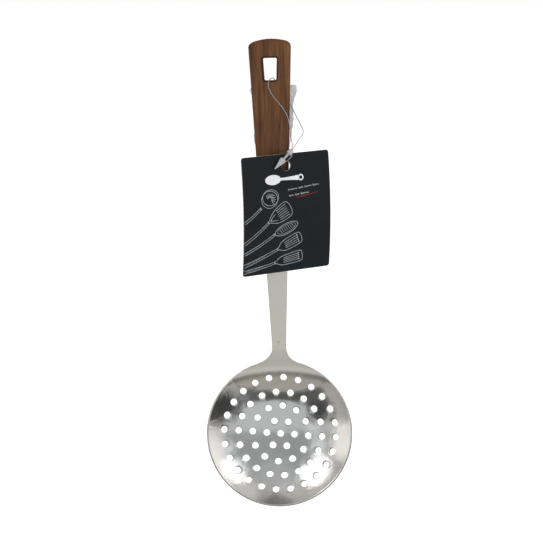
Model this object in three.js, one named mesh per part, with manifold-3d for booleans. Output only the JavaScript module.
// Kitchen skimmer: a pressed, perforated steel bowl on a long flat shank, a wooden handle over
// the shank's tang, two cutlery rivets, and a card swing tag on a nylon lock loop.
//
// Millimetres. +Z runs up the handle, and the bowl opens towards -Y. The origin is in the middle
// of the hanging hole's top edge, where a hook bears.

import * as THREE from 'three';
import { mergeVertices } from 'three/addons/utils/BufferGeometryUtils.js';
import Module from 'manifold-3d';

const wasm = await Module();
wasm.setup();

// ---------------------------------------------------------------- driving dimensions
const SHEET = 1.8;                  // gauge of the steel
const GAP = 0.3;                    // clearance left between neighbouring pieces

const BOWL_R = 55;                  // rim radius
const DISH_DEPTH = 20;              // rim plane to the bottom of the spherical dish
const CREASE_R = 45.2;              // where the flat below the neck turns down into the dish
const CREASE_FLAT = 0.75;           // how straight that crease is: 0 is a circle
const HOLE_R = 2.5;                 // drain holes
const RING_PITCH = 10.6;            // spacing of the rings of drain holes
const RING_PHASE = [0, 55.5, 24.5, 14.8, 10];  // first hole of each ring, degrees

const NECK_Z = -218;                // where the shank bends into the bowl's plane
const NECK_TO_CENTRE = 64;          // bend to the bowl's centre
const NECK_LEAN = 12;               // degrees the bowl's plane leans forward
const NECK_W = 10.6;                // narrowest width, at the bend
const SHANK_TAPER = 0.0873;         // width gained per millimetre of height
const SHANK_SHIFT = 0.95;           // the shank stands this far to the right of the bowl's middle

const GRIP_END_Z = -116;            // lower end of the wooden handle
const GRIP_TOP_Z = 14.2;            // crown of the handle's arched top
const GRIP_T = 11.5;                // thickness of the handle
const GRIP_END_W = 20.6, GRIP_TAPER = 0.0866;
const GRIP_ROUND = 2.2;             // rounding of its long edges
const HANG_TOP_W = 10.5, HANG_END_W = 9.1, HANG_H = 16.5, HANG_CORNER = 1.3;

const TANG_W = 12, TANG_TOP_Z = -46;
const RIVET_Z = [-84, -106];
const RIVET_HEAD_R = 3.4, RIVET_HEAD_T = 1.2, RIVET_TUBE_R = 2.2, RIVET_POST_R = 1.45;

const TAG_W = 75.2, TAG_H = 89, TAG_T = 0.7, TAG_CORNER = 2.5;
const TAG_BOW = 2.8;                // how far the card's middle bulges forward
const TAG_YAW = 33;                 // degrees the card is turned about the vertical
const TAG_TILT = 5;                 // degrees its lower end falls back towards the shank
const TAG_SPIN = 2;                 // degrees it is turned in its own plane
const TAG_HOLE_R = 3.8, TAG_HOLE_DOWN = 8.8;   // hole, and its centre below the top edge
const TAG_HOLE = new THREE.Vector3(10.0, -10.5, -79.5);

const STRING_R = 0.3;

const shankWidth = (z) => NECK_W + SHANK_TAPER * (z - NECK_Z);
const gripWidth = (z) => GRIP_END_W + GRIP_TAPER * (z - GRIP_END_Z);
const rad = THREE.MathUtils.degToRad;

// ---------------------------------------------------------------- solids
function solid(geometry) {
  const plain = new THREE.BufferGeometry();
  plain.setAttribute('position', geometry.getAttribute('position').clone());
  if (geometry.index) plain.setIndex(geometry.index.clone());
  const merged = mergeVertices(plain, 1e-4);
  return new wasm.Manifold(new wasm.Mesh({
    numProp: 3,
    vertProperties: new Float32Array(merged.getAttribute('position').array),
    triVerts: new Uint32Array(merged.index.array),
  }));
}

function geometryOf(body) {
  const mesh = body.getMesh();
  const indexed = new THREE.BufferGeometry();
  indexed.setAttribute('position', new THREE.BufferAttribute(mesh.vertProperties.slice(), 3));
  indexed.setIndex(new THREE.BufferAttribute(mesh.triVerts.slice(), 1));
  const flat = indexed.toNonIndexed();
  flat.computeVertexNormals();
  return flat;
}

// A plate with the outline of shape, drawn in X and Y, between two heights along Z.
function plate(shape, low, high, options = {}) {
  const geometry = new THREE.ExtrudeGeometry(shape,
    { depth: high - low, bevelEnabled: false, curveSegments: 8, ...options });
  return geometry.translate(0, 0, low);
}

// Stands a plate up: its outline's Y becomes +Z and its thickness runs back along +Y.
const upright = (geometry) => geometry.rotateX(Math.PI / 2).scale(1, -1, 1);

// Reverses the winding after a mirror, so that faces point outwards again.
function unmirror(geometry) {
  const flat = geometry.index ? geometry.toNonIndexed() : geometry;
  const p = flat.getAttribute('position');
  for (let i = 0; i < p.count; i += 3) {
    const [x, y, z] = [p.getX(i), p.getY(i), p.getZ(i)];
    p.setXYZ(i, p.getX(i + 1), p.getY(i + 1), p.getZ(i + 1));
    p.setXYZ(i + 1, x, y, z);
  }
  flat.computeVertexNormals();
  return flat;
}

const uprightPlate = (shape, low, high, options) =>
  unmirror(upright(plate(shape, low, high, options)));

function roundedRect(topW, endW, top, end, r) {
  const s = new THREE.Shape();
  s.moveTo(-endW / 2 + r, end);
  s.lineTo(endW / 2 - r, end);
  s.quadraticCurveTo(endW / 2, end, endW / 2, end + r);
  s.lineTo(topW / 2, top - r);
  s.quadraticCurveTo(topW / 2, top, topW / 2 - r, top);
  s.lineTo(-topW / 2 + r, top);
  s.quadraticCurveTo(-topW / 2, top, -topW / 2, top - r);
  s.lineTo(-endW / 2, end + r);
  s.quadraticCurveTo(-endW / 2, end, -endW / 2 + r, end);
  return s;
}

// ---------------------------------------------------------------- bowl and shank, one stamping
// The bowl is made about its own origin, the centre of the rim's plane, opening along +Z with
// the neck towards +Y, and is then leaned forward below the shank.
function bowlHeight(x, y) {
  const sphere = (BOWL_R ** 2 + DISH_DEPTH ** 2) / (2 * DISH_DEPTH);
  // The rim of the dish is drawn in below the neck, to a nearly straight crease.
  const r = Math.hypot(x, y), across = Math.abs(x) / Math.max(r, 1e-6);
  const edge = y > 0 ? Math.min(CREASE_R / Math.sqrt(1 - CREASE_FLAT * across ** 2), BOWL_R) : BOWL_R;
  if (r >= edge) return 0;
  const t = Math.max((r - 23) / (edge - 23), 0);
  const drawn = r + (BOWL_R - edge) * (t < 0.3 ? t * t / 0.51 : (t - 0.15) / 0.85);
  return sphere - DISH_DEPTH - Math.sqrt(sphere ** 2 - drawn ** 2);
}

function dish() {
  const radii = [4, 9, 14, 19, 23, 27, 31, 35, 38.5, 41.5, 43.7, 45, 46.4, 49, 52, BOWL_R], n = 84;
  const sphere = (BOWL_R ** 2 + DISH_DEPTH ** 2) / (2 * DISH_DEPTH);
  const points = [], faces = [];
  for (const below of [0, 1]) {
    points.push(0, 0, -DISH_DEPTH - below * SHEET);
    for (const r of radii) {
      for (let k = 0; k < n; k++) {
        const x = r * Math.cos(2 * Math.PI * k / n), y = r * Math.sin(2 * Math.PI * k / n);
        const height = bowlHeight(x, y), side = THREE.MathUtils.radToDeg(Math.abs(Math.atan2(x, y)));
        const leaning = r < CREASE_R - 1 ? 1 : THREE.MathUtils.smoothstep(side, 30, 52);
        const gauge = 1 + leaning * (sphere / Math.sqrt(sphere ** 2 - r ** 2) - 1);
        points.push(x, y, height - below * gauge * SHEET);
      }
    }
  }
  const half = 1 + radii.length * n;
  const at = (below, ring, k) => below * half + 1 + ring * n + (k + n) % n;
  for (let k = 0; k < n; k++) {
    faces.push(0, at(0, 0, k), at(0, 0, k + 1), half, at(1, 0, k + 1), at(1, 0, k));
    for (let ring = 0; ring < radii.length - 1; ring++) {
      const [a, b, c, d] = [at(0, ring, k), at(0, ring + 1, k), at(0, ring + 1, k + 1), at(0, ring, k + 1)];
      faces.push(a, b, c, a, c, d, half + a, half + c, half + b, half + a, half + d, half + c);
    }
    const last = radii.length - 1, a = at(0, last, k), b = at(0, last, k + 1);
    faces.push(a, half + a, half + b, a, half + b, b);
  }
  const geometry = new THREE.BufferGeometry();
  geometry.setAttribute('position', new THREE.Float32BufferAttribute(points, 3));
  geometry.setIndex(faces);
  return geometry;
}

function drainHoles() {
  const holes = [];
  RING_PHASE.forEach((phase, ring) => {
    const count = ring === 0 ? 1 : 6 * ring;
    for (let i = 0; i < count; i++) {
      const angle = rad(phase + 360 * i / count);
      const drill = new THREE.CylinderGeometry(HOLE_R, HOLE_R, 40, 12).rotateX(Math.PI / 2);
      drill.translate(RING_PITCH * ring * Math.cos(angle), RING_PITCH * ring * Math.sin(angle), -10);
      holes.push(solid(drill));
    }
  });
  return wasm.Manifold.union(holes);
}

function neckOutline() {
  const half = NECK_W / 2 + 0.15, flare = [17.2, 52.2], mid = SHANK_SHIFT;
  const s = new THREE.Shape();
  s.moveTo(mid + half, 63);
  s.quadraticCurveTo(mid + 7.2, 55.1, flare[0], flare[1]);
  s.lineTo(12.5, 49);
  s.lineTo(-12.5, 49);
  s.lineTo(-flare[0], flare[1]);
  s.quadraticCurveTo(mid - 7.2, 55.1, mid - half, 63);
  s.lineTo(mid - half, NECK_TO_CENTRE + 0.2);
  s.lineTo(mid + half, NECK_TO_CENTRE + 0.2);
  return s;
}

function shankOutline() {
  const low = shankWidth(NECK_Z) / 2, high = shankWidth(GRIP_END_Z) / 2, tang = TANG_W / 2;
  const s = new THREE.Shape();
  s.moveTo(SHANK_SHIFT - low, NECK_Z - 0.2);
  s.lineTo(SHANK_SHIFT + low, NECK_Z - 0.2);
  s.lineTo(SHANK_SHIFT + high, GRIP_END_Z - GAP);
  s.lineTo(tang, GRIP_END_Z - GAP);
  s.lineTo(tang, TANG_TOP_Z - 3);
  s.quadraticCurveTo(tang, TANG_TOP_Z, tang - 3, TANG_TOP_Z);
  s.lineTo(3 - tang, TANG_TOP_Z);
  s.quadraticCurveTo(-tang, TANG_TOP_Z, -tang, TANG_TOP_Z - 3);
  s.lineTo(-tang, GRIP_END_Z - GAP);
  s.lineTo(SHANK_SHIFT - high, GRIP_END_Z - GAP);
  s.closePath();
  return s;
}

// A plain cylinder lying along Y, centred on the handle's middle plane.
const crossDrill = (r, z, length = 20, y = 0) =>
  solid(new THREE.CylinderGeometry(r, r, length, 24).translate(0, y, z));

function bowlAndShank() {
  const lean = rad(NECK_LEAN);
  const place = new THREE.Matrix4().makeRotationX(Math.PI / 2 - lean);
  const n = new THREE.Vector3(0, -Math.cos(lean), Math.sin(lean));
  place.setPosition(new THREE.Vector3(0, -Math.sin(lean), -Math.cos(lean))
    .multiplyScalar(NECK_TO_CENTRE).addScaledVector(n, SHEET / 2)
    .add(new THREE.Vector3(0, 0, NECK_Z)));
  const pressed = solid(dish()).add(solid(plate(neckOutline(), -SHEET, 0)))
    .subtract(drainHoles()).transform(place.toArray());
  let body = pressed.add(solid(uprightPlate(shankOutline(), -SHEET / 2, SHEET / 2)));
  for (const z of RIVET_Z) body = body.subtract(crossDrill(RIVET_TUBE_R + GAP, z));
  return geometryOf(body);
}

// ---------------------------------------------------------------- wooden handle
function gripOutline() {
  const shoulderZ = GRIP_TOP_Z - 6.2, low = gripWidth(GRIP_END_Z) / 2, high = gripWidth(shoulderZ) / 2;
  const s = new THREE.Shape();
  s.moveTo(-low, GRIP_END_Z);
  s.lineTo(low, GRIP_END_Z);
  s.lineTo(high, shoulderZ);
  s.quadraticCurveTo(high, GRIP_TOP_Z - 3, high - 3.6, GRIP_TOP_Z - 1.7);
  s.quadraticCurveTo(0, GRIP_TOP_Z + 1.7, -high + 4.2, GRIP_TOP_Z - 2);
  s.quadraticCurveTo(-high, GRIP_TOP_Z - 3.4, -high, shoulderZ);
  s.closePath();
  return s;
}

function grip() {
  const blank = uprightPlate(gripOutline(), -GRIP_T / 2 + GRIP_ROUND, GRIP_T / 2 - GRIP_ROUND, {
    bevelEnabled: true, bevelSize: GRIP_ROUND, bevelOffset: -GRIP_ROUND,
    bevelThickness: GRIP_ROUND, bevelSegments: 4,
  });
  const hang = uprightPlate(roundedRect(HANG_TOP_W, HANG_END_W, 0, -HANG_H, HANG_CORNER), -20, 20);
  const slotH = TANG_TOP_Z - GRIP_END_Z + 2 * GAP;
  const slot = new THREE.BoxGeometry(TANG_W + 2 * GAP, SHEET + 2 * GAP, slotH)
    .translate(0, 0, GRIP_END_Z - GAP + slotH / 2);
  let body = solid(blank).subtract(solid(hang)).subtract(solid(slot));
  for (const z of RIVET_Z) {
    body = body.subtract(crossDrill(RIVET_TUBE_R + GAP, z));
    for (const side of [-1, 1]) {
      const depth = RIVET_HEAD_T + GAP;
      body = body.subtract(crossDrill(RIVET_HEAD_R + GAP, z, 2 * depth, side * GRIP_T / 2));
    }
  }
  return geometryOf(body);
}

// ---------------------------------------------------------------- cutlery rivets
// Each is a solid post pressed into a tubular cap. Profiles run along Y, front to back.
function lathe(points, segments = 28) {
  return new THREE.LatheGeometry(points.map(([r, y]) => new THREE.Vector2(r, y)), segments);
}

function rivetPost(z) {
  const face = -GRIP_T / 2, under = face + RIVET_HEAD_T;
  return lathe([[0, face - 0.15], [RIVET_HEAD_R - 0.5, face - 0.05], [RIVET_HEAD_R, face + 0.3],
    [RIVET_HEAD_R, under], [RIVET_POST_R, under], [RIVET_POST_R, 2.3], [0, 2.6]]).translate(0, 0, z);
}

function rivetCap(z) {
  const face = GRIP_T / 2, under = face - RIVET_HEAD_T, bore = RIVET_POST_R + 0.15;
  return lathe([[0, 3.2], [bore, 3.2], [bore, -3.6], [RIVET_TUBE_R, -3.6], [RIVET_TUBE_R, under],
    [RIVET_HEAD_R, under], [RIVET_HEAD_R, face - 0.3], [RIVET_HEAD_R - 0.5, face + 0.05],
    [0, face + 0.15]]).translate(0, 0, z);
}

// ---------------------------------------------------------------- swing tag
// The card is cut from a bowed sheet. It is made upright about its own hole, then yawed.
function tagCard() {
  const top = TAG_HOLE_DOWN, end = top - TAG_H, middle = (top + end) / 2;
  const bulge = (z) => TAG_BOW * (1 - ((z - middle) / (TAG_H / 2)) ** 2);
  const curve = new THREE.Shape(), steps = 16;
  for (let i = 0; i <= steps; i++) {
    const z = end - 1 + (TAG_H + 2) * i / steps;
    const y = bulge(0) - bulge(z);
    if (i === 0) curve.moveTo(y - TAG_T / 2, z); else curve.lineTo(y - TAG_T / 2, z);
  }
  for (let i = steps; i >= 0; i--) {
    const z = end - 1 + (TAG_H + 2) * i / steps;
    curve.lineTo(bulge(0) - bulge(z) + TAG_T / 2, z);
  }
  // The outline's X is the card's depth, so the sheet is turned to lie along the row's X.
  const sheet = new THREE.ExtrudeGeometry(curve, { depth: TAG_W + 2, bevelEnabled: false })
    .translate(0, 0, -TAG_W / 2 - 1).rotateX(Math.PI / 2).rotateZ(Math.PI / 2);
  const outline = roundedRect(TAG_W, TAG_W, top, end, TAG_CORNER);
  const hole = new THREE.CylinderGeometry(TAG_HOLE_R, TAG_HOLE_R, 40, 32);
  return geometryOf(solid(sheet).intersect(solid(uprightPlate(outline, -20, 20)))
    .subtract(solid(hole)));
}

// The nylon loop: from the lock's socket it goes up behind the handle, through the hanging
// hole, down the front, round the right edge, through the card's hole and back to the lock.
const LOCK_SOCKET = new THREE.Vector3(13.5, -12.3, -69.6);
const LOCK_TIP = new THREE.Vector3(2.2, -19.0, -81.4);
const lockAxis = LOCK_TIP.clone().sub(LOCK_SOCKET).normalize();
const LOCK_TAIL = LOCK_SOCKET.clone().addScaledVector(lockAxis, -2.6);

const STRING_PATH = [
  LOCK_TAIL.clone().addScaledVector(lockAxis, -GAP),
  [16.6, -8.4, -65.9], [20.2, -4.8, -60.6], [23.4, -1.2, -55.6], [21.4, 1.0, -50.0],
  [18.6, 3.4, -44.4], [15.2, 5.4, -37.4], [10.4, 6.7, -29.4], [5.6, 6.8, -20.4],
  [2.6, 6.5, -16.0], [1.9, 4.6, -15.1], [1.3, 0, -14.9], [0.7, -4.6, -15.1],
  [-0.6, -6.5, -16.4], [-1.3, -6.6, -19.4], [-0.3, -6.5, -24.0], [2.4, -6.5, -28.8],
  [5.8, -6.5, -33.0], [9.2, -6.5, -37.5], [11.6, -6.5, -42.0], [13.0, -5.9, -47.0],
  [13.9, -4.4, -54.0], [14.4, -2.9, -60.6], [15.0, -2.9, -65.6], [13.9, -4.2, -70.0],
  [11.7, -6.4, -74.2], [10.3, -10.0, -76.6], [11.3, -12.4, -75.9], [13.4, -13.4, -74.0], [15.3, -12.8, -71.8],
].map((p) => (p.isVector3 ? p : new THREE.Vector3(...p)));

function tagString() {
  const section = new THREE.Shape();
  for (let i = 0; i < 8; i++) {
    const angle = Math.PI / 4 * i;
    const [x, y] = [STRING_R * Math.cos(angle), STRING_R * Math.sin(angle)];
    if (i === 0) section.moveTo(x, y); else section.lineTo(x, y);
  }
  section.closePath();
  const path = new THREE.CatmullRomCurve3(STRING_PATH, false, 'centripetal');
  return new THREE.ExtrudeGeometry(section, { steps: 80, extrudePath: path });
}

// The lock's two pieces lie on one axis: an arrow whose neck runs through a short socket.
function alongLock(geometry) {
  const turn = new THREE.Quaternion().setFromUnitVectors(new THREE.Vector3(0, 1, 0), lockAxis);
  return geometry.applyQuaternion(turn).translate(...LOCK_SOCKET.toArray());
}

const LOCK_LENGTH = LOCK_TIP.distanceTo(LOCK_SOCKET);

const lockArrow = () => alongLock(lathe([[0, -2.6], [0.9, -2.2], [0.8, 3.2], [0.9, LOCK_LENGTH - 10.4],
  [2.4, LOCK_LENGTH - 9.6], [2.2, LOCK_LENGTH - 8.4], [0, LOCK_LENGTH]], 16));

const lockSocket = () => alongLock(lathe([[1.2, -1.5], [1.9, -1.5], [2.1, 0], [1.9, 1.5],
  [1.2, 1.5], [1.2, -1.5]], 20));

// ---------------------------------------------------------------- clear film behind the handle
function clearFilm() {
  const s = new THREE.Shape();
  s.moveTo(-13.2, -76);
  s.lineTo(13.2, -76);
  s.lineTo(14.6, -52);
  s.lineTo(16.6, -22);
  s.lineTo(-15.4, -25);
  s.closePath();
  return uprightPlate(s, GRIP_T / 2 + 1.7, GRIP_T / 2 + 2.3);
}

// ---------------------------------------------------------------- assembly
const group = new THREE.Group();
group.name = 'skimmer';

function add(name, geometry, colour, options = {}) {
  const material = new THREE.MeshStandardMaterial({ color: colour, roughness: 0.5, ...options });
  const mesh = new THREE.Mesh(geometry, material);
  mesh.name = name;
  group.add(mesh);
  return mesh;
}

const steel = { metalness: 1, roughness: 0.25 };
add('bowl_shank', bowlAndShank(), 0xc2beb4, steel);
add('handle_grip', grip(), 0x6a4328);
['upper', 'lower'].forEach((which, i) => {
  add(`rivet_${which}_post`, rivetPost(RIVET_Z[i]), 0xb9b7b2, steel);
  add(`rivet_${which}_cap`, rivetCap(RIVET_Z[i]), 0xb0aea9, steel);
});
const tag = add('hang_tag', tagCard(), 0x20252a);
tag.rotation.set(rad(TAG_TILT), -rad(TAG_SPIN), rad(TAG_YAW), 'ZXY');
tag.position.copy(TAG_HOLE);
add('tag_string', tagString(), 0xd8d8d6);
add('lock_socket', lockSocket(), 0xe2e2e0);
add('lock_arrow', lockArrow(), 0xe6e6e4);
add('clear_film', clearFilm(), 0xd6d8d8, { transparent: true, opacity: 0.4 });

export default group;
